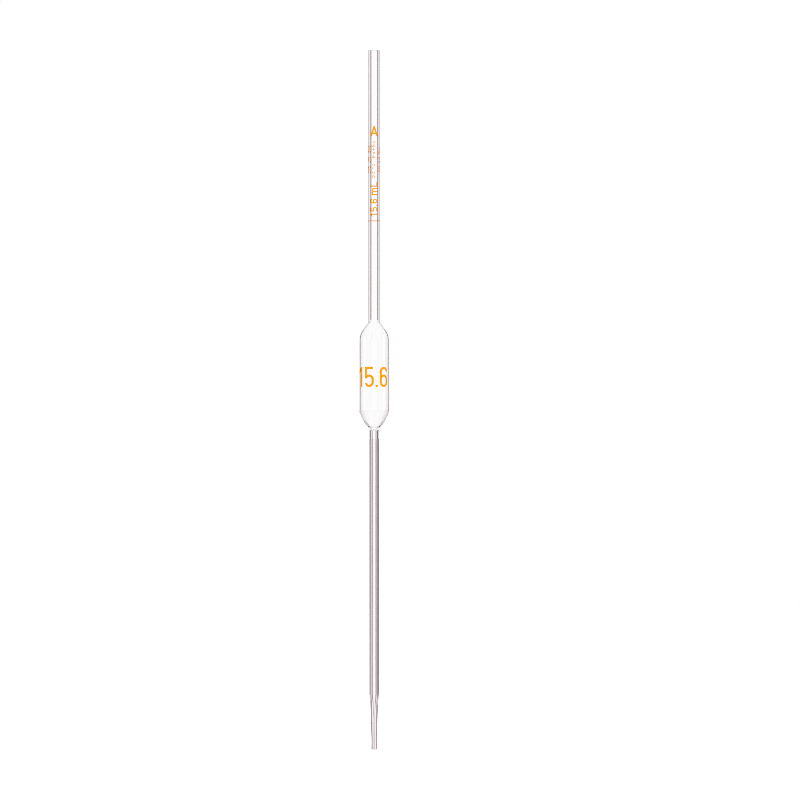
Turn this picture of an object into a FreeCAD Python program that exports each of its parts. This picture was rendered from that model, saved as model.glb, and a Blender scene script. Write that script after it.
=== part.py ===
import FreeCAD, Part
import math
import os

# One-mark volumetric pipette, blown and fused from borosilicate glass tubing, with baked-on print.
# Millimetres. The axis is Z: origin at the centre of the jet's end face, +Z up to the suction end.
# The capacity print faces -Y. Angles round the axis are degrees from -Y, positive towards +X.

# Volume that the pipette delivers: everything between the jet's end and the ring mark, in mm3.
capacity = 15600.0

# Jet: the drawn-down end of the delivery tube.
jet_length = 37.7
jet_end_diameter = 3.45
jet_straight = 7.0          # parallel stretch above the end face
jet_taper_length = 21.0     # slow taper above the parallel stretch
jet_shank_diameter = 4.8   # where the slow taper ends
jet_draw_length = 7.6       # the quick S-shaped draw up to the full tube
jet_blend_radius = 12.0
jet_rim_radius = 0.5
jet_orifice_diameter = 0.56
jet_bore_straight = 19.5    # the fine bore keeps its size this far up
jet_throat_diameter = 1.1   # bore at the foot of the quick draw
jet_bore_blend_radius = 14.0

# Delivery tube: thick-walled tubing between the jet and the bulb.
delivery_length = 166.0
delivery_diameter = 6.1
delivery_bore = 2.25

# Fused joint between the delivery tube and the bulb.
neck_shoulder_height = 0.35  # rounded end of the thick tube
neck_waist_height = 1.05     # level of the groove's floor
neck_waist_diameter = 4.7
neck_length = 1.9
neck_top_diameter = 6.8
neck_groove_radius = 0.35
neck_edge_radius = 0.2

# Lower shoulder: two cones blended into a bullet shape.
lower_steep_angle = 24.6     # cone half-angle next to the barrel
lower_blunt_angle = 48.0     # cone half-angle next to the neck
lower_break_diameter = 12.0  # where the two cones meet
lower_barrel_radius = 2.5
lower_blend_radius = 15.0

# Barrel of the bulb. Its length follows from the capacity.
barrel_diameter = 19.5
bulb_wall = 0.97

# Upper shoulder.
upper_angle = 39.0
upper_barrel_radius = 11.0
upper_stem_radius = 1.2
upper_bore_radius = 5.0
upper_straight = 0.4         # plain tube left above the blend

# Suction tube.
suction_length = 171.2
suction_diameter = 7.7
suction_bore = 4.2
suction_rim_radius = 0.5
suction_bore_rim_radius = 0.25

# Baked-on print.
print_thickness = 0.05
sleeve_overrun = 1.0         # a letter is cut from a sleeve that runs this far past it both ways
ring_height_above_bulb = 62.0
ring_width = 0.4

bulb_number_height = 12.9
bulb_number_width = 6.0
bulb_number_stroke = 1.45
bulb_number_gap = 1.25
bulb_number_angle = -7.7
bulb_number_below_middle = 1.2

stem_text_height = 4.7
stem_text_width = 2.9
stem_text_stroke = 0.72
stem_text_gap = 0.8
stem_text_angle = -5.0
stem_text_above_ring = 2.8

class_letter_height = 6.7
class_letter_width = 5.0
class_letter_stroke = 1.0
class_letter_above_ring = 54.0

small_text_height = 2.1
small_text_width = 1.6
small_text_stroke = 0.32
small_text_gap = 0.72
small_text_angle = -6.5
temperature_above_ring = 27.4
waiting_above_ring = 40.2
tolerance_angle = 52.0
tolerance_above_ring = 31.0

symbol_size = 4.4
symbol_stroke = 0.8
symbol_pitch = 6.6
symbol_angle = -86.0
symbol_above_ring = 30.5

# Proportions of the letter shapes.
DEGREE = "\N{DEGREE SIGN}"
PLUS_MINUS = "\N{PLUS-MINUS SIGN}"
cell_shares = {"1": 0.8, " ": 0.25, "m": 1.6, "s": 0.85, DEGREE: 0.6}
lower_case_share = 0.76
flag_foot = 0.76            # shares of a letter's height: where the flag of a 1 ends,
bowl_top = 0.62             # the top of the bowl of a 5 or a 6,
mouth_low = 0.28            # the gap on the open side of a 3 or a C, which is also the crossbar of an A,
mouth_high = 0.72
small_mouth_low = 0.2       # the gap below the bowl of a 5,
small_mouth_high = 0.42
plus_level = 0.6            # and the level of the plus in a plus-minus
post_margin = 0.25          # shares of its width: the space left to the right of the post of a 1,
hook_drop = 0.7             # how far down the hook of a 2 comes,
mouth_depth = 0.42          # the depth of an open side,
crossbar_start = 0.2        # where the crossbar of an A starts,
flag_length = 0.92          # and the top bar of a 5


def middle_arc(before, corner, after, radius):
    """Start, middle and end of the arc that rounds one corner of an outline."""
    into = FreeCAD.Vector(before[0] - corner[0], before[1] - corner[1], 0).normalize()
    out = FreeCAD.Vector(after[0] - corner[0], after[1] - corner[1], 0).normalize()
    half = into.getAngle(out) / 2
    tip = FreeCAD.Vector(corner[0], corner[1], 0)
    inward = (into + out).normalize()
    centre = tip + inward * (radius / math.sin(half))
    reach = radius / math.tan(half)
    return tip + into * reach, centre - inward * radius, tip + out * reach


def closed_outline(corners):
    """A closed wire in the XY plane through (x, y, corner radius) points."""
    rounds = []
    for index, (x, y, radius) in enumerate(corners):
        if radius:
            before, after = corners[index - 1], corners[(index + 1) % len(corners)]
            rounds.append(middle_arc(before, (x, y), after, radius))
        else:
            rounds.append((FreeCAD.Vector(x, y, 0),) * 3)
    edges = []
    for index, (start, middle, end) in enumerate(rounds):
        leaving = rounds[(index + 1) % len(rounds)][0]
        if start.distanceToPoint(end) > 1e-6:
            edges.append(Part.Arc(start, middle, end).toShape())
        if end.distanceToPoint(leaving) > 1e-6:
            edges.append(Part.LineSegment(end, leaving).toShape())
    return Part.Wire(edges)


def turned(corners):
    """A solid turned about Z from a closed outline of (radius, height, corner radius) points."""
    face = Part.Face(closed_outline(corners))
    face.rotate(FreeCAD.Vector(0, 0, 0), FreeCAD.Vector(1, 0, 0), 90)
    return face.revolve(FreeCAD.Vector(0, 0, 0), FreeCAD.Vector(0, 0, 1), 360)


def glass(outside, inside):
    """The wall between two lists of corners, both given from the bottom up."""
    return turned(outside + inside[::-1])


def contents(inside):
    """Volume that a bore's corners enclose, given from the bottom up."""
    return turned(inside + [(0, inside[-1][1], 0), (0, inside[0][1], 0)]).Volume


def rise(radial_step, half_angle):
    """Height over which a cone of this half-angle gains a radius."""
    return radial_step / math.tan(math.radians(half_angle))


def sideways(wall, half_angle):
    """A cone's wall measured level instead of square to its surface."""
    return wall / math.cos(math.radians(half_angle))


def setback(radius, turn):
    """Distance from a corner to where its blend starts."""
    return radius * math.tan(math.radians(turn) / 2)


# Each section of the glass is a pair of corner lists, outside and inside, from its own lower end up.

def jet_corners():
    taper_top = jet_straight + jet_taper_length
    draw_top = taper_top + jet_draw_length
    outside = [
        (jet_end_diameter / 2, 0, jet_rim_radius),
        (jet_end_diameter / 2, jet_straight, 0),
        (jet_shank_diameter / 2, taper_top, jet_blend_radius),
        (delivery_diameter / 2, draw_top, jet_blend_radius),
        (delivery_diameter / 2, jet_length, 0),
    ]
    inside = [
        (jet_orifice_diameter / 2, 0, 0),
        (jet_orifice_diameter / 2, jet_bore_straight, 0),
        (jet_throat_diameter / 2, taper_top, jet_bore_blend_radius),
        (delivery_bore / 2, draw_top, jet_bore_blend_radius),
        (delivery_bore / 2, jet_length, 0),
    ]
    return outside, inside


def delivery_corners():
    outside = [(delivery_diameter / 2, 0, 0), (delivery_diameter / 2, delivery_length, 0)]
    inside = [(delivery_bore / 2, 0, 0), (delivery_bore / 2, delivery_length, 0)]
    return outside, inside


def neck_top_bore():
    return neck_top_diameter / 2 - sideways(bulb_wall, lower_blunt_angle)


def neck_corners():
    outside = [
        (delivery_diameter / 2, 0, 0),
        (delivery_diameter / 2, neck_shoulder_height, neck_edge_radius),
        (neck_waist_diameter / 2, neck_waist_height, neck_groove_radius),
        (neck_top_diameter / 2, neck_length, 0),
    ]
    inside = [(delivery_bore / 2, 0, 0), (neck_top_bore(), neck_length, 0)]
    return outside, inside


def lower_shoulder_corners():
    """Two cones from the neck up to the barrel, and the same two inset by the wall."""
    blunt_rise = rise((lower_break_diameter - neck_top_diameter) / 2, lower_blunt_angle)
    barrel_corner = blunt_rise + rise((barrel_diameter - lower_break_diameter) / 2, lower_steep_angle)
    top = barrel_corner + setback(lower_barrel_radius, lower_steep_angle)
    blunt_side = sideways(bulb_wall, lower_blunt_angle)
    steep_side = sideways(bulb_wall, lower_steep_angle)
    blunt_slope = math.tan(math.radians(lower_blunt_angle))
    steep_slope = math.tan(math.radians(lower_steep_angle))
    inner_lift = (blunt_side - steep_side) / (blunt_slope - steep_slope)
    inner_break = lower_break_diameter / 2 - steep_side + inner_lift * steep_slope
    inner_barrel = barrel_diameter / 2 - bulb_wall
    inner_corner = blunt_rise + inner_lift + rise(inner_barrel - inner_break, lower_steep_angle)
    outside = [
        (neck_top_diameter / 2, 0, 0),
        (lower_break_diameter / 2, blunt_rise, lower_blend_radius),
        (barrel_diameter / 2, barrel_corner, lower_barrel_radius),
        (barrel_diameter / 2, top, 0),
    ]
    inside = [
        (neck_top_bore(), 0, 0),
        (inner_break, blunt_rise + inner_lift, lower_blend_radius - bulb_wall),
        (inner_barrel, inner_corner, lower_barrel_radius - bulb_wall),
        (inner_barrel, top, 0),
    ]
    return outside, inside


def barrel_corners(length):
    outer, inner = barrel_diameter / 2, barrel_diameter / 2 - bulb_wall
    return [(outer, 0, 0), (outer, length, 0)], [(inner, 0, 0), (inner, length, 0)]


def upper_shoulder_corners():
    """A cone from the barrel in to the suction tube; its wall thickens towards the tube."""
    stem, bore = suction_diameter / 2, suction_bore / 2
    outer_barrel, inner_barrel = barrel_diameter / 2, barrel_diameter / 2 - bulb_wall
    side = sideways(bulb_wall, upper_angle)
    barrel_corner = setback(upper_barrel_radius, upper_angle)
    stem_corner = barrel_corner + rise(outer_barrel - stem, upper_angle)
    inner_corner = barrel_corner - rise(side - bulb_wall, upper_angle)
    bore_corner = barrel_corner + rise(outer_barrel - side - bore, upper_angle)
    stem_blend_top = stem_corner + setback(upper_stem_radius, upper_angle)
    bore_blend_top = bore_corner + setback(upper_bore_radius, upper_angle)
    top = max(stem_blend_top, bore_blend_top) + upper_straight
    outside = [
        (outer_barrel, 0, 0),
        (outer_barrel, barrel_corner, upper_barrel_radius),
        (stem, stem_corner, upper_stem_radius),
        (stem, top, 0),
    ]
    inside = [
        (inner_barrel, 0, 0),
        (inner_barrel, inner_corner, upper_barrel_radius - bulb_wall),
        (bore, bore_corner, upper_bore_radius),
        (bore, top, 0),
    ]
    return outside, inside


def suction_corners(length):
    outside = [(suction_diameter / 2, 0, 0), (suction_diameter / 2, length, suction_rim_radius)]
    inside = [(suction_bore / 2, 0, 0), (suction_bore / 2, length, suction_bore_rim_radius)]
    return outside, inside


def height_of(section):
    return section[0][-1][1]


def barrel_length():
    """Barrel that brings the volume up to the ring mark to the capacity."""
    fixed = [jet_corners(), delivery_corners(), neck_corners()]
    fixed += [lower_shoulder_corners(), upper_shoulder_corners()]
    up_to_ring = [(suction_bore / 2, 0, 0), (suction_bore / 2, ring_height_above_bulb, 0)]
    rest = sum(contents(inside) for outside, inside in fixed) + contents(up_to_ring)
    return (capacity - rest) / (math.pi * (barrel_diameter / 2 - bulb_wall) ** 2)


# Letter shapes, as upright prisms on the XY plane with the lower left corner of the cell at the origin.
# They are deep enough to reach from the axis through the surface of any section.

letter_depth = barrel_diameter

def bar(u0, v0, u1, v1, stroke, overrun=0.0):
    """A straight stroke of even width along its centre line, run on past both ends if asked."""
    along = FreeCAD.Vector(u1 - u0, v1 - v0, 0).normalize()
    across = FreeCAD.Vector(-along.y, along.x, 0) * (stroke / 2)
    start = FreeCAD.Vector(u0, v0, 0) - along * overrun
    end = FreeCAD.Vector(u1, v1, 0) + along * overrun
    rim = [start + across, end + across, end - across, start - across, start + across]
    return Part.Face(Part.makePolygon(rim)).extrude(FreeCAD.Vector(0, 0, letter_depth))


def block(u0, v0, u1, v1):
    return Part.makeBox(u1 - u0, v1 - v0, letter_depth, FreeCAD.Vector(u0, v0, 0))


def outline_prism(corners):
    return Part.Face(closed_outline(corners)).extrude(FreeCAD.Vector(0, 0, letter_depth))


def oval(u0, v0, u1, v1):
    """A rectangle whose corners are rounded as far as they go."""
    radius = min(u1 - u0, v1 - v0) / 2
    corners = [(u0, v0, radius), (u1, v0, radius), (u1, v1, radius), (u0, v1, radius)]
    return outline_prism(corners)


def loop(u0, v0, u1, v1, stroke):
    inner = oval(u0 + stroke, v0 + stroke, u1 - stroke, v1 - stroke)
    return oval(u0, v0, u1, v1).cut(inner)


def joined(strokes):
    return strokes[0].multiFuse(strokes[1:]) if len(strokes) > 1 else strokes[0]


def glyph(letter, width, height, stroke):
    """One letter in a cell of this width and height."""
    edge, low, mid = stroke / 2, height * lower_case_share, height / 2
    right, top, apex = width - edge, height - edge, width / 2
    if letter == "1":
        post = right - width * post_margin
        flag = bar(post, top, edge, height * flag_foot, stroke, stroke)
        strokes = [bar(post, 0, post, height, stroke), flag.common(block(0, 0, post + edge, height))]
    elif letter == "2":
        hook_end = height - width * hook_drop
        hook = loop(0, height - width, width, height, stroke).cut(block(0, 0, apex, height - apex))
        hook = hook.cut(block(0, 0, width, hook_end))
        strokes = [hook, bar(right, hook_end, edge, edge, stroke), bar(0, edge, width, edge, stroke)]
    elif letter == "3":
        pair = joined([loop(0, mid - edge, width, height, stroke), loop(0, 0, width, mid + edge, stroke)])
        strokes = [pair.cut(block(0, height * mouth_low, width * mouth_depth, height * mouth_high))]
    elif letter == "5":
        bowl = loop(0, 0, width, height * bowl_top, stroke)
        gap = block(0, height * small_mouth_low, width * mouth_depth, height * small_mouth_high)
        stem = block(0, height * small_mouth_high, stroke, height)
        strokes = [bowl.cut(gap), stem, bar(edge, top, width * flag_length, top, stroke)]
    elif letter == "6":
        hook = loop(0, mid, width, height, stroke).cut(block(0, 0, width, height - apex))
        stem = bar(edge, apex, edge, height - apex, stroke)
        strokes = [loop(0, 0, width, height * bowl_top, stroke), stem, hook]
    elif letter == "0":
        strokes = [loop(0, 0, width, height, stroke)]
    elif letter == ".":
        strokes = [block(0, 0, stroke, stroke)]
    elif letter == "A":
        level = height * mouth_low
        strokes = [bar(edge, 0, apex, top, stroke, stroke), bar(right, 0, apex, top, stroke, stroke)]
        strokes.append(bar(width * crossbar_start, level, width * (1 - crossbar_start), level, stroke))
    elif letter == "L":
        strokes = [bar(edge, 0, edge, height, stroke), bar(0, edge, width, edge, stroke)]
    elif letter == "E":
        strokes = [bar(edge, 0, edge, height, stroke)]
        strokes += [bar(0, level, width, level, stroke) for level in (edge, mid, top)]
    elif letter == "C":
        gap = block(width * (1 - mouth_depth), height * mouth_low, width, height * mouth_high)
        strokes = [loop(0, 0, width, height, stroke).cut(gap)]
    elif letter == "m":
        post_top = low - (apex + edge) / 2
        arches = [loop(0, 0, apex + edge, low, stroke), loop(apex - edge, 0, width, low, stroke)]
        strokes = [arch.cut(block(0, 0, width, post_top)) for arch in arches]
        strokes += [bar(post, 0, post, post_top, stroke) for post in (apex, right)]
        strokes.append(bar(edge, 0, edge, low, stroke))
    elif letter == "x":
        strokes = [bar(edge, 0, right, low, stroke), bar(right, 0, edge, low, stroke)]
    elif letter == "s":
        waist = low / 2
        upper = loop(0, waist - edge, width, low, stroke).cut(block(apex, waist, width, low - waist / 2))
        lower = loop(0, 0, width, waist + edge, stroke).cut(block(0, waist / 2, apex, waist))
        strokes = [upper, lower]
    elif letter == "+":
        strokes = [bar(0, mid, width, mid, stroke), bar(apex, mid - apex, apex, mid + apex, stroke)]
    elif letter == PLUS_MINUS:
        level = height * plus_level
        strokes = [bar(0, level, width, level, stroke), bar(0, edge, width, edge, stroke)]
        strokes.append(bar(apex, level - apex, apex, level + apex, stroke))
    elif letter == DEGREE:
        strokes = [loop(0, height - width, width, height, stroke)]
    else:
        raise ValueError("no shape for letter " + letter)
    return joined(strokes).common(block(0, 0, width, height)).removeSplitter()


def cell_width(letter, width, stroke):
    return stroke if letter == "." else width * cell_shares.get(letter, 1.0)


def baked_on(prism, radius, angle, height):
    """The part of a thin sleeve round the glass that lies inside a letter's prism."""
    prism.rotate(FreeCAD.Vector(0, 0, 0), FreeCAD.Vector(1, 0, 0), 90)
    foot = FreeCAD.Vector(0, 0, prism.BoundBox.ZMin - sleeve_overrun)
    reach = prism.BoundBox.ZLength + 2 * sleeve_overrun
    core = Part.makeCylinder(radius, reach, foot)
    sleeve = Part.makeCylinder(radius + print_thickness, reach, foot).cut(core)
    printed = prism.common(sleeve).removeSplitter()
    printed.rotate(FreeCAD.Vector(0, 0, 0), FreeCAD.Vector(0, 0, 1), angle)
    printed.translate(FreeCAD.Vector(0, 0, height))
    return printed.Solids


def print_upright(text, width, height, stroke, gap, radius, angle, base):
    """A word that reads round the glass, each letter square to its own place."""
    cells = [cell_width(letter, width, stroke) for letter in text]
    place = -(sum(cells) + gap * (len(text) - 1)) / 2
    solids = []
    for letter, cell in zip(text, cells):
        prism = glyph(letter, cell, height, stroke)
        prism.translate(FreeCAD.Vector(-cell / 2, 0, 0))
        turn = angle + math.degrees((place + cell / 2) / radius)
        solids += baked_on(prism, radius, turn, base)
        place += cell + gap
    return Part.makeCompound(solids)


def print_upwards(text, width, height, stroke, gap, radius, angle, base):
    """A word that reads up the glass, with the letters' heads towards -X."""
    solids = []
    for letter in text:
        cell = cell_width(letter, width, stroke)
        if letter != " ":
            prism = glyph(letter, cell, height, stroke)
            prism.translate(FreeCAD.Vector(0, -height / 2, 0))
            prism.rotate(FreeCAD.Vector(0, 0, 0), FreeCAD.Vector(0, 0, 1), 90)
            solids += baked_on(prism, radius, angle, base)
        base += cell + gap
    return Part.makeCompound(solids)


def print_symbol(radius, base):
    """A ring, a diamond and a square in line, where a maker would put a mark."""
    half = symbol_size / 2
    diamond = [(-half, 0, 0), (0, -half, 0), (half, 0, 0), (0, half, 0)]
    hole_share = 1 - symbol_stroke * math.sqrt(2) / half
    diamond_hole = [(u * hole_share, v * hole_share, 0) for u, v, blend in diamond]
    square = block(-half, -half, half, half)
    inset = half - symbol_stroke
    shapes = [
        loop(-half, -half, half, half, symbol_stroke),
        outline_prism(diamond).cut(outline_prism(diamond_hole)),
        square.cut(block(-inset, -inset, inset, inset)),
    ]
    solids = []
    for step, shape in enumerate(shapes):
        solids += baked_on(shape, radius, symbol_angle, base + half + step * symbol_pitch)
    return Part.makeCompound(solids)


def build():
    barrel = barrel_length()
    sections = {
        "jet": jet_corners(),
        "delivery_tube": delivery_corners(),
        "lower_neck": neck_corners(),
        "lower_shoulder": lower_shoulder_corners(),
        "bulb_barrel": barrel_corners(barrel),
        "upper_shoulder": upper_shoulder_corners(),
        "suction_tube": suction_corners(suction_length),
    }
    nodes, floor = {}, {}
    height = 0
    for name, (outside, inside) in sections.items():
        nodes[name] = glass(outside, inside)
        nodes[name].translate(FreeCAD.Vector(0, 0, height))
        floor[name] = height
        height += height_of((outside, inside))

    stem, bulb = suction_diameter / 2, barrel_diameter / 2
    ring = floor["suction_tube"] + ring_height_above_bulb
    band = [(stem, -ring_width / 2, 0), (stem + print_thickness, -ring_width / 2, 0)]
    band += [(stem + print_thickness, ring_width / 2, 0), (stem, ring_width / 2, 0)]
    nodes["ring_mark"] = turned(band)
    nodes["ring_mark"].translate(FreeCAD.Vector(0, 0, ring))

    middle = floor["bulb_barrel"] + barrel / 2 - bulb_number_below_middle
    nodes["bulb_capacity_number"] = print_upright(
        "15.6", bulb_number_width, bulb_number_height, bulb_number_stroke, bulb_number_gap,
        bulb, bulb_number_angle, middle - bulb_number_height / 2)
    nodes["stem_capacity_text"] = print_upwards(
        "15.6 mL", stem_text_width, stem_text_height, stem_text_stroke, stem_text_gap,
        stem, stem_text_angle, ring + stem_text_above_ring)
    nodes["class_letter"] = print_upright(
        "A", class_letter_width, class_letter_height, class_letter_stroke, 0,
        stem, 0, ring + class_letter_above_ring)
    small = (small_text_width, small_text_height, small_text_stroke, small_text_gap, stem)
    nodes["temperature_text"] = print_upwards(
        "20 " + DEGREE + "C", *small, small_text_angle, ring + temperature_above_ring)
    nodes["waiting_time_text"] = print_upwards(
        "Ex+5s", *small, small_text_angle, ring + waiting_above_ring)
    nodes["tolerance_text"] = print_upwards(
        PLUS_MINUS + "0.03 mL", *small, tolerance_angle, ring + tolerance_above_ring)
    nodes["maker_symbol"] = print_symbol(stem, ring + symbol_above_ring)

    print("barrel length %.3f, ring mark at %.3f, bulb from %.3f to %.3f, overall %.3f" % (
        barrel, ring, floor["lower_neck"], floor["suction_tube"], height))
    return nodes


os.makedirs("parts", exist_ok=True)
for node, shape in build().items():
    shape.exportStep("parts/" + node + ".step")
    print("%-22s %3d solids %10.2f mm3 valid %s" % (node, len(shape.Solids), shape.Volume, shape.isValid()))
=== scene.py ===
import math

import bpy
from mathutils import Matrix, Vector


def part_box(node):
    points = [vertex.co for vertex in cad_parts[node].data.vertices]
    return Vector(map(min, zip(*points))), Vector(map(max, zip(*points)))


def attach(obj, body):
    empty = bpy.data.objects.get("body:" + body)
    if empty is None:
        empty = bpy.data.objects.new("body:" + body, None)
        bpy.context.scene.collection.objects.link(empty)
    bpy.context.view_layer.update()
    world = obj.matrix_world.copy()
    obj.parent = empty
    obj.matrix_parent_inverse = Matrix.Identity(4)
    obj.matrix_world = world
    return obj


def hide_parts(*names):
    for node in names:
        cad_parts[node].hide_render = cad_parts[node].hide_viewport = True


# A one-mark volumetric pipette: clear drawn glass with amber print fired into it.
# Metres, Z up along the pipette, the jet's end at the origin, the bulb's number facing -Y.

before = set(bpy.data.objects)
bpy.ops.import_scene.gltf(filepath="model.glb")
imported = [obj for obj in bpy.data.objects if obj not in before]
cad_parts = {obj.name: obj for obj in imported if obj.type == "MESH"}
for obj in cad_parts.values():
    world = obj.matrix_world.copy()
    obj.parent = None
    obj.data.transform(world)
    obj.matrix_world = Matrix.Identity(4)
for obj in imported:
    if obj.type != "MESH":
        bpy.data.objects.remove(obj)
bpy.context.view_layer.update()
print("frame loaded,", len(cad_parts), "nodes")

scene = bpy.context.scene
scene.view_settings.view_transform = "Standard"   # keeps white paper white and the amber clean
scene.cycles.max_bounces = 200                    # thick glass pipes light a long way before letting it out
scene.cycles.transmission_bounces = 200
scene.cycles.glossy_bounces = 200
scene.cycles.filter_width = 0.9                   # keeps hairlines in glass and print crisp
mm = 0.001


def linearColour(hexValue, alpha=1.0):
    # sRGB hex to the linear values that shader sockets take
    channels = [int(hexValue[i:i + 2], 16) / 255 for i in (1, 3, 5)]
    return [c / 12.92 if c <= 0.04045 else ((c + 0.055) / 1.055) ** 2.4 for c in channels] + [alpha]


def grey(value):
    return [value, value, value, 1.0]


def addNode(tree, kind, settings=None, inputs=None):
    # one node with its settings; an input goes by name or number, to a value or another node's socket
    node = tree.nodes.new(kind)
    for name, value in (settings or {}).items():
        setattr(node, name, value)
    for name, value in (inputs or {}).items():
        if isinstance(value, bpy.types.NodeSocket):
            tree.links.new(value, node.inputs[name])
        else:
            node.inputs[name].default_value = value
    return node


def newMaterial(name):
    material = bpy.data.materials.new(name)
    material.use_nodes = True
    material.node_tree.nodes.clear()
    return material


def rampColours(ramp, stops):
    # sets a colour ramp's stops, given as (position, colour)
    elements = ramp.color_ramp.elements
    while len(elements) < len(stops):
        elements.new(0.5)
    for element, (position, colour) in zip(elements, stops):
        element.position = position
        element.color = colour


# The camera looks level along +Y through a long lens.

cameraSetup = {
    "distance": 6.0,
    "frameWidth": 0.5114,   # what the lens takes in at the pipette
    "sensor": 36.0,
    "aim": (0.0165, 0.0, 0.2233),
}


def makeCamera():
    aimX, aimY, aimZ = cameraSetup["aim"]
    bpy.ops.object.camera_add(
        location=(aimX, aimY - cameraSetup["distance"], aimZ), rotation=(math.radians(90), 0, 0))
    camera = bpy.context.object
    camera.name = "studioCamera"
    camera.data.sensor_width = cameraSetup["sensor"]
    camera.data.lens = cameraSetup["sensor"] * cameraSetup["distance"] / cameraSetup["frameWidth"]
    camera.data.clip_end = 100
    scene.camera = camera


makeCamera()
print("camera placed")

# The glass is one fused body: every section of tube runs into the next without a seam.

glassSizes = {
    # mm; the lengths and outside widths of the sections come from the frame
    "recess": 0.01,          # the glass stays this far inside the frame's outline, under the print
    "rim": 0.5,              # fire-polished edge at both ends
    "jetRadius": 1.725,
    "jetStraight": 7.0,
    "jetShank": 2.4,         # radius where the slow taper ends
    "taperTop": 28.0,
    "drawTop": 35.6,         # the quick draw ends here
    "jetBlend": 12.0,
    "orifice": 0.28,
    "orificeTop": 19.5,
    "throat": 0.55,
    "deliveryBore": 1.125,
    "neckEdge": 0.35,        # height of the thick tube's rounded end
    "waistRadius": 2.35,     # the groove where tube and bulb were fused
    "waistHeight": 1.05,
    "neckBlend": 0.35,
    "bulbWall": 0.97,
    "bluntAngle": 48.0,      # half-angles of the two cones under the barrel
    "steepAngle": 24.6,
    "breakRadius": 6.0,
    "breakBlend": 15.0,
    "barrelFootBlend": 2.5,
    "upperAngle": 39.0,
    "barrelTopBlend": 11.0,
    "stemBlend": 1.2,
    "stemBoreBlend": 5.0,
    "stemBore": 2.1,
    "around": 160,           # faces round the tube
    "arcStep": 3.0,          # degrees between rings on a blend
    "support": 0.4,          # from a blend's end to the ring that holds the shading straight
}


def glassCorners():
    # (radius, height, blend radius) up the outside and up the bore
    g = glassSizes
    foot = {name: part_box(name)[0].z / mm for name in glassNodes}
    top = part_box("suction_tube")[1].z / mm - g["recess"]
    delivery, neckTop, barrel, stem = (
        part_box(name)[1].x / mm for name in ("delivery_tube", "lower_neck", "bulb_barrel", "suction_tube"))
    innerBarrel = barrel - g["bulbWall"]
    blunt, steep, upper = (math.tan(math.radians(g[k])) for k in ("bluntAngle", "steepAngle", "upperAngle"))
    # the wall measured level is thicker on a cone
    bluntWall, steepWall, upperWall = (
        g["bulbWall"] / math.cos(math.radians(g[k])) for k in ("bluntAngle", "steepAngle", "upperAngle"))
    low = foot["lower_shoulder"]
    breakHeight = low + (g["breakRadius"] - neckTop) / blunt
    innerLift = (bluntWall - steepWall) / (blunt - steep)
    innerBreak = g["breakRadius"] - steepWall + innerLift * steep
    barrelFoot = breakHeight + (barrel - g["breakRadius"]) / steep
    innerFoot = breakHeight + innerLift + (innerBarrel - innerBreak) / steep
    barrelTop = foot["upper_shoulder"] + g["barrelTopBlend"] * math.tan(math.radians(g["upperAngle"]) / 2)
    innerTop = barrelTop - (upperWall - g["bulbWall"]) / upper
    outside = [
        (g["jetRadius"], 0, g["rim"]),
        (g["jetRadius"], g["jetStraight"], g["jetBlend"]),
        (g["jetShank"], g["taperTop"], g["jetBlend"]),
        (delivery, g["drawTop"], g["jetBlend"]),
        (delivery, foot["lower_neck"] + g["neckEdge"], g["neckBlend"]),
        (g["waistRadius"], foot["lower_neck"] + g["waistHeight"], g["neckBlend"]),
        (neckTop, low, g["neckBlend"]),
        (g["breakRadius"], breakHeight, g["breakBlend"]),
        (barrel, barrelFoot, g["barrelFootBlend"]),
        (barrel, barrelTop, g["barrelTopBlend"]),
        (stem, barrelTop + (barrel - stem) / upper, g["stemBlend"]),
        (stem, top, g["rim"]),
    ]
    inside = [
        (g["orifice"], 0, g["rim"] / 4),
        (g["orifice"], g["orificeTop"], g["jetBlend"]),
        (g["throat"], g["taperTop"], g["jetBlend"]),
        (g["deliveryBore"], g["drawTop"], g["jetBlend"]),
        (g["deliveryBore"], foot["lower_neck"], g["neckBlend"]),
        (neckTop - bluntWall, low, g["neckBlend"]),
        (innerBreak, breakHeight + innerLift, g["breakBlend"] - g["bulbWall"]),
        (innerBarrel, innerFoot, g["barrelFootBlend"] - g["bulbWall"]),
        (innerBarrel, innerTop, g["barrelTopBlend"] - g["bulbWall"]),
        (g["stemBore"], barrelTop + (barrel - upperWall - g["stemBore"]) / upper, g["stemBoreBlend"]),
        (g["stemBore"], top, g["rim"] / 2),
    ]
    return [(r - g["recess"], z, blend) for r, z, blend in outside], inside


def blendedOutline(corners):
    # rings (radius, height) along an outline, its corners rounded by their blend radius
    rings = []
    for i, (r, z, blend) in enumerate(corners):
        here = Vector((r, z))
        if not blend:
            rings.append(here)
            continue
        before = Vector(corners[i - 1][:2]) - here
        after = Vector(corners[i + 1][:2]) - here
        turn = math.pi - before.angle(after)
        reach = blend * math.tan(turn / 2)
        into, out = before.normalized(), after.normalized()
        centre = here + (into + out).normalized() * (blend / math.cos(turn / 2))
        start, end = here + into * reach, here + out * reach
        steps = max(2, math.ceil(math.degrees(turn) / glassSizes["arcStep"]))
        if before.length - reach > 2 * glassSizes["support"]:
            rings.append(start + into * glassSizes["support"])
        arm = start - centre
        sweep = arm.angle_signed(end - centre)
        for step in range(steps + 1):
            t = -sweep * step / steps
            rings.append(centre + Vector((
                arm.x * math.cos(t) - arm.y * math.sin(t), arm.x * math.sin(t) + arm.y * math.cos(t))))
        if after.length - reach > 2 * glassSizes["support"]:
            rings.append(end + out * glassSizes["support"])
    return rings


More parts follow.
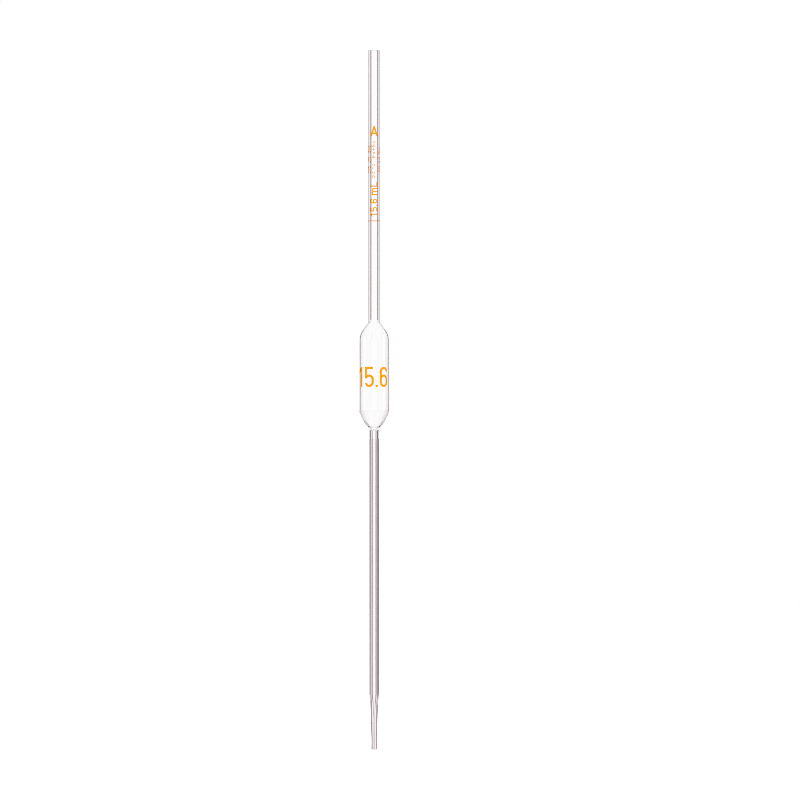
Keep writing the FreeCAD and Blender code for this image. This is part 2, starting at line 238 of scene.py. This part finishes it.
def makeGlassBody():
    outside, inside = glassCorners()
    # up the outside from half way across the jet's end face, over the suction end and down the bore
    seam = ((outside[0][0] + inside[0][0]) / 2, 0, 0)
    rings = blendedOutline([seam] + outside + inside[::-1] + [seam])[:-1]
    bpy.ops.object.select_all(action="DESELECT")
    r, z = rings[0]
    bpy.ops.mesh.primitive_circle_add(
        vertices=glassSizes["around"], radius=r * mm, location=(0, 0, z * mm), fill_type="NOTHING")
    body = bpy.context.object
    body.name = "glassBody"
    bpy.ops.object.mode_set(mode="EDIT")
    bpy.ops.mesh.select_mode(type="EDGE")
    bpy.ops.mesh.select_all(action="SELECT")
    for nextR, nextZ in rings[1:]:
        bpy.ops.mesh.extrude_edges_move(TRANSFORM_OT_translate={"value": (0, 0, (nextZ - z) * mm)})
        bpy.ops.transform.resize(value=(nextR / r, nextR / r, 1), center_override=(0, 0, nextZ * mm))
        r, z = nextR, nextZ
    # close the wall: the last ring of the bore meets the first
    bpy.ops.mesh.select_all(action="DESELECT")
    bpy.ops.mesh.select_non_manifold()
    bpy.ops.mesh.bridge_edge_loops()
    bpy.ops.mesh.select_all(action="SELECT")
    bpy.ops.mesh.remove_doubles(threshold=1e-7)
    bpy.ops.mesh.normals_make_consistent(inside=False)
    bpy.ops.object.mode_set(mode="OBJECT")
    bpy.ops.object.shade_smooth()
    return body


glassNodes = ["jet", "delivery_tube", "lower_neck", "lower_shoulder", "bulb_barrel",
              "upper_shoulder", "suction_tube"]
glassBody = makeGlassBody()
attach(glassBody, "root")
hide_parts(*glassNodes)
print("glass drawn,", len(glassBody.data.polygons), "faces")

glassFinish = {
    "clear": "#FFFFFF",
    "index": 1.473,            # Borosilicate 3.3
    "drawLineSpacing": 1.1,    # mm round the tube between the faint lines left by drawing
    "drawLineLength": 90.0,    # mm along it
    "lineDetail": 2.0,
    "lineStrength": 0.02,
    "lineHeight": 0.02,        # mm
}


def drawnBorosilicate():
    # Borosilicate 3.3 tubing, drawn and flame-worked: colourless, fire-polished, index 1.473.
    # To the eye: clear through the middle, fine grey lines where the wall turns away.
    g = glassFinish
    material = newMaterial("drawnBorosilicateGlass")
    tree = material.node_tree
    coords = addNode(tree, "ShaderNodeTexCoord")
    stretch = addNode(tree, "ShaderNodeMapping", inputs={
        "Vector": coords.outputs["Object"],
        "Scale": (1.0, 1.0, g["drawLineSpacing"] / g["drawLineLength"])})
    drawLines = addNode(tree, "ShaderNodeTexNoise", inputs={
        "Vector": stretch.outputs["Vector"], "Scale": 1 / (g["drawLineSpacing"] * mm),
        "Detail": g["lineDetail"]})
    ripple = addNode(tree, "ShaderNodeBump", inputs={
        "Strength": g["lineStrength"], "Distance": g["lineHeight"] * mm, "Height": drawLines.outputs["Fac"]})
    shader = addNode(tree, "ShaderNodeBsdfPrincipled", inputs={
        "Base Color": linearColour(g["clear"]), "Roughness": 0.0, "IOR": g["index"],
        "Transmission Weight": 1.0, "Normal": ripple.outputs["Normal"]})
    addNode(tree, "ShaderNodeOutputMaterial", inputs={"Surface": shader.outputs["BSDF"]})
    return material


printFinish = {
    "thin": "#FFB200",         # where the stain lies thinly
    "full": "#FFA300",
    "meshSpacing": 0.5,        # mm, the print screen's unevenness, drawn coarse enough to show
    "meshDetail": 3.0,
    "clearness": 0.94,
}


def diffusedAmberStain():
    # Amber stain, screen-printed and fired until it soaks into the skin of the glass.
    # To the eye: a clear orange film that turns brown over the tube's dark lines, a little uneven.
    p = printFinish
    material = newMaterial("diffusedAmberStain")
    tree = material.node_tree
    coords = addNode(tree, "ShaderNodeTexCoord")
    grain = addNode(tree, "ShaderNodeTexNoise", inputs={
        "Vector": coords.outputs["Object"], "Scale": 1 / (p["meshSpacing"] * mm),
        "Detail": p["meshDetail"]})
    shade = addNode(tree, "ShaderNodeValToRGB", inputs={"Fac": grain.outputs["Fac"]})
    rampColours(shade, [(0.3, linearColour(p["full"])), (0.7, linearColour(p["thin"]))])
    shader = addNode(tree, "ShaderNodeBsdfPrincipled", inputs={
        "Base Color": shade.outputs["Color"], "Roughness": 0.0, "IOR": 1.0,
        "Transmission Weight": p["clearness"]})
    addNode(tree, "ShaderNodeOutputMaterial", inputs={"Surface": shader.outputs["BSDF"]})
    return material


glassBody.data.materials.clear()
glassBody.data.materials.append(drawnBorosilicate())

printNodes = ["ring_mark", "bulb_capacity_number", "stem_capacity_text", "temperature_text",
              "waiting_time_text", "tolerance_text", "class_letter", "maker_symbol"]
amber = diffusedAmberStain()
for name in printNodes:
    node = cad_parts[name]
    node.data.materials.clear()
    node.data.materials.append(amber)
print("materials made")

# Clear glass shows only what stands round it: white walls straight ahead and at the sides, and
# darker cards between them that the curved wall draws in as its fine grey lines.

studio = {
    "floorRadius": 4.0,
    "floorThickness": 0.01,
    "floorGap": 0.0002,
    "paperShade": "#F4F3F1",
    "paperLight": "#FDFCFB",
    "paperFibre": 1.7,         # mm
    "paperRoughness": 0.9,
    "lamps": {"frontLamp": (-8, 25, 3.1), "topLamp": (0, 84, 2.2)},   # azimuth, elevation, strength
    "lampSoftness": 30,        # degrees
    "diffuseFill": 0.28,       # how much of the white room's light reaches the matt surfaces
    "tentRadius": 2.0,
    "tentLow": 0.19,           # the tent's edge is level with the bulb's foot
    "tentHigh": 1.2,
    "mirrored": 0.8,           # what the glass reflects, an even grey
    "mirroredLow": 0.25,       # the same for the tube below the bulb
    "rear": 0.8,               # the room behind the camera is nearly even
    "rearShare": 0.65,
    "rearEdge": (0.05, -0.15), # how far forward a ray runs where the rear room begins and is full
    "overhead": 0.9,
    # heights between which a ray passes to the next layer of the room
    "slantEdge": (-0.12, -0.18),
    "overheadEdge": (0.12, 0.18),
    "uprightEdge": (0.6, 0.85),
    "cast": "#FFEEF2",         # the grey cards' faint mauve
    "castFrom": 16,            # degrees
    "castTo": 82,
    "castFade": 6,             # degrees over which it comes and goes
    # brightness by degrees from straight ahead or behind (0) to the side (90)
    "upperCards": [
        (0, 1.0), (15, 1.03), (18, 1.1), (24, 1.0), (27, 0.5), (30, 0.04), (37, 0.04), (41, 0.35), (45, 0.7),
        (52, 0.8), (57, 0.65), (61, 0.25), (69, 0.1), (73, 0.5), (77, 0.95), (83, 1.2), (90, 1.2)],
    "lowerCards": [
        (0, 1.0), (20, 1.0), (24, 0.8), (28, 0.3), (31, 0.1), (35, 0.35), (38, 0.7), (41, 0.6), (44, 0.06),
        (56, 0.06), (59, 0.3), (62, 0.06), (68, 0.08), (72, 0.45), (76, 1.0), (90, 1.1)],
    "slantCards": [
        (0, 1.0), (10, 1.0), (14, 0.2), (26, 0.15), (30, 0.95), (60, 0.95), (64, 0.15), (78, 0.2), (82, 1.0),
        (90, 1.0)],
}


def makeFloor():
    bpy.ops.object.select_all(action="DESELECT")
    bpy.ops.mesh.primitive_circle_add(
        vertices=96, radius=studio["floorRadius"], location=(0, 0, -studio["floorGap"]), fill_type="NGON")
    floor = bpy.context.object
    floor.name = "studioFloor"
    bpy.ops.object.mode_set(mode="EDIT")
    bpy.ops.mesh.select_all(action="SELECT")
    bpy.ops.mesh.extrude_region_move(TRANSFORM_OT_translate={"value": (0, 0, -studio["floorThickness"])})
    bpy.ops.mesh.select_all(action="SELECT")
    bpy.ops.mesh.normals_make_consistent(inside=False)
    bpy.ops.object.mode_set(mode="OBJECT")
    floor.data.materials.append(mattWhitePaper())
    floor.visible_transmission = False   # the glass shows the room, not the ground
    floor.visible_glossy = False


def mattWhitePaper():
    # Matt white background paper. To the eye: a pale, even ground with the faintest fibre.
    material = newMaterial("mattWhitePaper")
    tree = material.node_tree
    coords = addNode(tree, "ShaderNodeTexCoord")
    fibre = addNode(tree, "ShaderNodeTexNoise", inputs={
        "Vector": coords.outputs["Object"], "Scale": 1 / (studio["paperFibre"] * mm)})
    shade = addNode(tree, "ShaderNodeValToRGB", inputs={"Fac": fibre.outputs["Fac"]})
    rampColours(shade, [(0, linearColour(studio["paperShade"])), (1, linearColour(studio["paperLight"]))])
    shader = addNode(tree, "ShaderNodeBsdfPrincipled", inputs={
        "Base Color": shade.outputs["Color"], "Roughness": studio["paperRoughness"]})
    addNode(tree, "ShaderNodeOutputMaterial", inputs={"Surface": shader.outputs["BSDF"]})
    return material


def makeLamps():
    for name, (azimuth, elevation, strength) in studio["lamps"].items():
        bpy.ops.object.light_add(type="SUN")
        lamp = bpy.context.object
        lamp.name = name
        a, e = math.radians(azimuth), math.radians(elevation)
        towards = Vector((math.sin(a) * math.cos(e), -math.cos(a) * math.cos(e), math.sin(e)))
        lamp.rotation_euler = towards.to_track_quat("Z", "Y").to_euler()
        lamp.data.energy = strength
        lamp.data.angle = math.radians(studio["lampSoftness"])
        lamp.visible_glossy = False
        lamp.visible_transmission = False


def cards(tree, axes, stops, cast, rearShare):
    # the room's brightness by direction, with the rear half evened out by its share
    side = addNode(tree, "ShaderNodeMath", {"operation": "ABSOLUTE"}, {0: axes.outputs["X"]})
    ahead = addNode(tree, "ShaderNodeMath", {"operation": "ABSOLUTE"}, {0: axes.outputs["Y"]})
    angle = addNode(tree, "ShaderNodeMath", {"operation": "ARCTAN2"}, {
        0: side.outputs[0], 1: ahead.outputs[0]})
    share = addNode(tree, "ShaderNodeMath", {"operation": "DIVIDE"}, {0: angle.outputs[0], 1: math.pi / 2})
    ramp = addNode(tree, "ShaderNodeValToRGB", inputs={"Fac": share.outputs[0]})
    tint = linearColour(cast)
    steps = []
    for degrees, value in stops:
        part = min(degrees - studio["castFrom"], studio["castTo"] - degrees) / studio["castFade"]
        part = min(1, max(0, part))   # the white walls have no cast
        steps.append((degrees / 90, [value / 2 * (1 - part + part * c) for c in tint[:3]] + [1]))
    rampColours(ramp, steps)
    bright = addNode(tree, "ShaderNodeVectorMath", {"operation": "SCALE"}, {
        "Vector": ramp.outputs["Color"], "Scale": 2.0})   # a ramp holds no value over 1
    start, end = studio["rearEdge"]
    behind = addNode(tree, "ShaderNodeMapRange", {"interpolation_type": "SMOOTHSTEP"}, {
        "Value": axes.outputs["Y"], "From Min": start, "From Max": end, "To Max": rearShare})
    room = addNode(tree, "ShaderNodeMix", {"data_type": "RGBA"}, {
        0: behind.outputs["Result"], 6: bright.outputs["Vector"], 7: grey(studio["rear"])})
    return room.outputs[2]


def makeTent():
    bpy.ops.object.select_all(action="DESELECT")
    bpy.ops.mesh.primitive_circle_add(
        vertices=96, radius=studio["tentRadius"], location=(0, 0, studio["tentLow"]), fill_type="NOTHING")
    tent = bpy.context.object
    tent.name = "lightTent"
    bpy.ops.object.mode_set(mode="EDIT")
    bpy.ops.mesh.select_all(action="SELECT")
    bpy.ops.mesh.extrude_edges_move(
        TRANSFORM_OT_translate={"value": (0, 0, studio["tentHigh"] - studio["tentLow"])})
    bpy.ops.object.mode_set(mode="OBJECT")
    material = newMaterial("paleTentCloth")
    tree = material.node_tree
    coords = addNode(tree, "ShaderNodeTexCoord")
    compass = addNode(tree, "ShaderNodeVectorMath", {"operation": "NORMALIZE"}, {
        0: coords.outputs["Object"]})
    axes = addNode(tree, "ShaderNodeSeparateXYZ", inputs={"Vector": compass.outputs["Vector"]})
    rays = addNode(tree, "ShaderNodeLightPath")
    cloth = addNode(tree, "ShaderNodeMix", {"data_type": "RGBA"}, {
        0: rays.outputs["Is Reflection Ray"],
        6: cards(tree, axes, studio["upperCards"], studio["cast"], studio["rearShare"]),
        7: grey(studio["mirrored"])})
    glow = addNode(tree, "ShaderNodeEmission", inputs={"Color": cloth.outputs[2], "Strength": 1.0})
    addNode(tree, "ShaderNodeOutputMaterial", inputs={"Surface": glow.outputs["Emission"]})
    tent.data.materials.append(material)
    tent.visible_camera = False
    tent.visible_diffuse = False
    tent.visible_shadow = False


def makeWorld():
    world = bpy.data.worlds.new("whiteStudio")
    scene.world = world
    world.use_nodes = True
    tree = world.node_tree
    tree.nodes.clear()
    coords = addNode(tree, "ShaderNodeTexCoord")
    axes = addNode(tree, "ShaderNodeSeparateXYZ", inputs={"Vector": coords.outputs["Generated"]})
    rays = addNode(tree, "ShaderNodeLightPath")
    steep = addNode(tree, "ShaderNodeMath", {"operation": "ABSOLUTE"}, {0: axes.outputs["Z"]})
    slant = cards(tree, axes, studio["slantCards"], "#FFFFFF", 0)
    room = cards(tree, axes, studio["lowerCards"], studio["cast"], studio["rearShare"])
    # each layer takes over from the last between two heights of the ray, or for one kind of ray
    layers = [
        (axes.outputs["Z"], studio["slantEdge"], slant),
        (axes.outputs["Z"], studio["overheadEdge"], grey(studio["overhead"])),
        (steep.outputs[0], studio["uprightEdge"], grey(1.0)),
        (rays.outputs["Is Reflection Ray"], (0, 1), grey(studio["mirroredLow"])),
        (rays.outputs["Is Diffuse Ray"], (0, 1), grey(studio["diffuseFill"])),
        (rays.outputs["Is Camera Ray"], (0, 1), grey(1.0)),
    ]
    for value, (start, end), colour in layers:
        share = addNode(tree, "ShaderNodeMapRange", {"interpolation_type": "SMOOTHSTEP"}, {
            "Value": value, "From Min": start, "From Max": end})
        room = addNode(tree, "ShaderNodeMix", {"data_type": "RGBA"}, {
            0: share.outputs["Result"], 6: room, 7: colour}).outputs[2]
    light = addNode(tree, "ShaderNodeBackground", inputs={"Color": room, "Strength": 1.0})
    addNode(tree, "ShaderNodeOutputWorld", inputs={"Surface": light.outputs["Background"]})


makeFloor()
makeLamps()
makeTent()
makeWorld()
print("studio lit")
